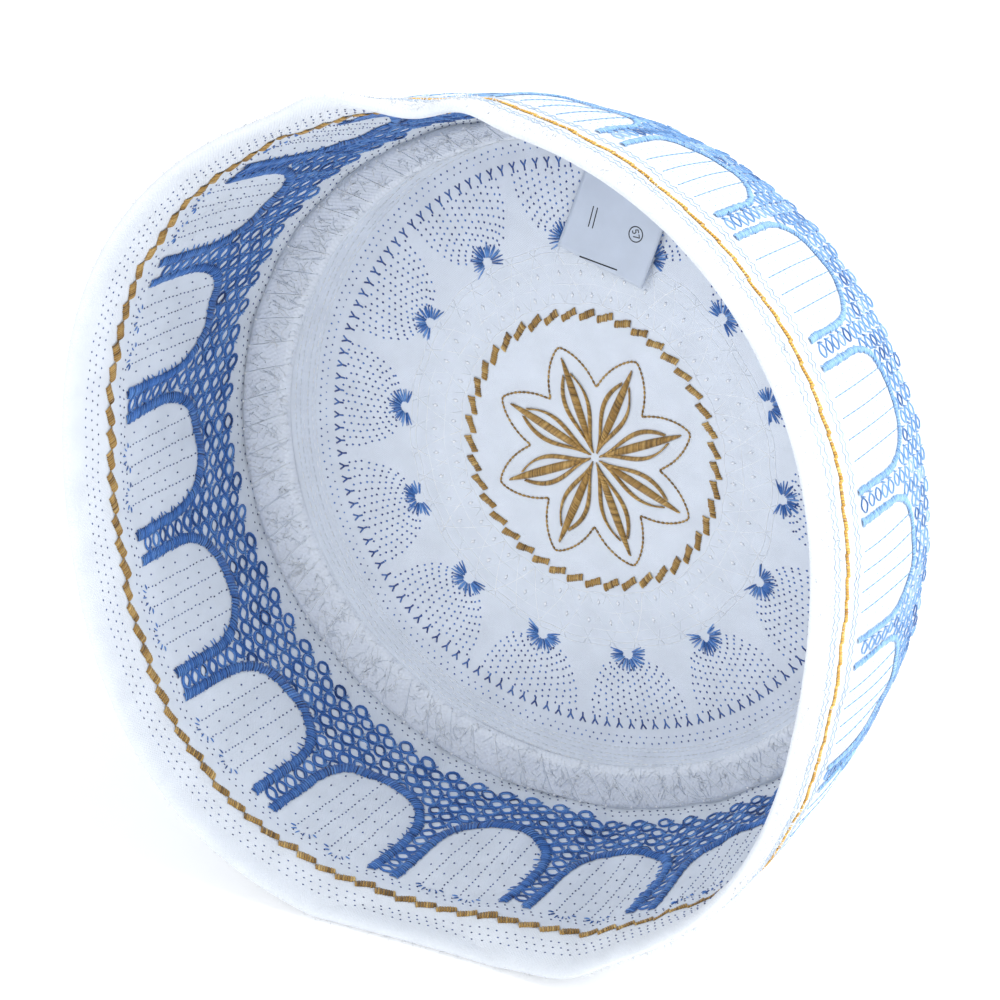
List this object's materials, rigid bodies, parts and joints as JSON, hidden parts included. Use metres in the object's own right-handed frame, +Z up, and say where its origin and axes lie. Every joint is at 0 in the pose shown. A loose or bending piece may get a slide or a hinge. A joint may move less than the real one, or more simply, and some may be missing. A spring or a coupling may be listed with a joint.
{
  "type": "kufi",
  "caption": "Soft white embroidered cap lying on its side, with a flat round crown, a straight side band, a plain rim hem, an inner seam tape and a size label.",
  "frame": {"origin": "middle of the part's box in plan, on the floor that the cap lies on", "axes": "+Z up, +X to the right as one looks into the opening, -Y the way the opening faces, which looks up by 11 degrees"},
  "size_m": [0.1831, 0.0992, 0.1846],
  "materials": {
    "band_cloth": "matt embroidered cotton",
    "hem_cloth": "matt plain cotton",
    "crown_cloth": "matt embroidered cotton",
    "fleece": "matt fibrous tape",
    "label_satin": "soft satin"
  },
  "bodies": {
    "root": {"side_band": "band_cloth", "rim_hem": "hem_cloth", "crown": "crown_cloth", "seam_band": "fleece", "size_label": "label_satin"}
  },
  "joints": []
}
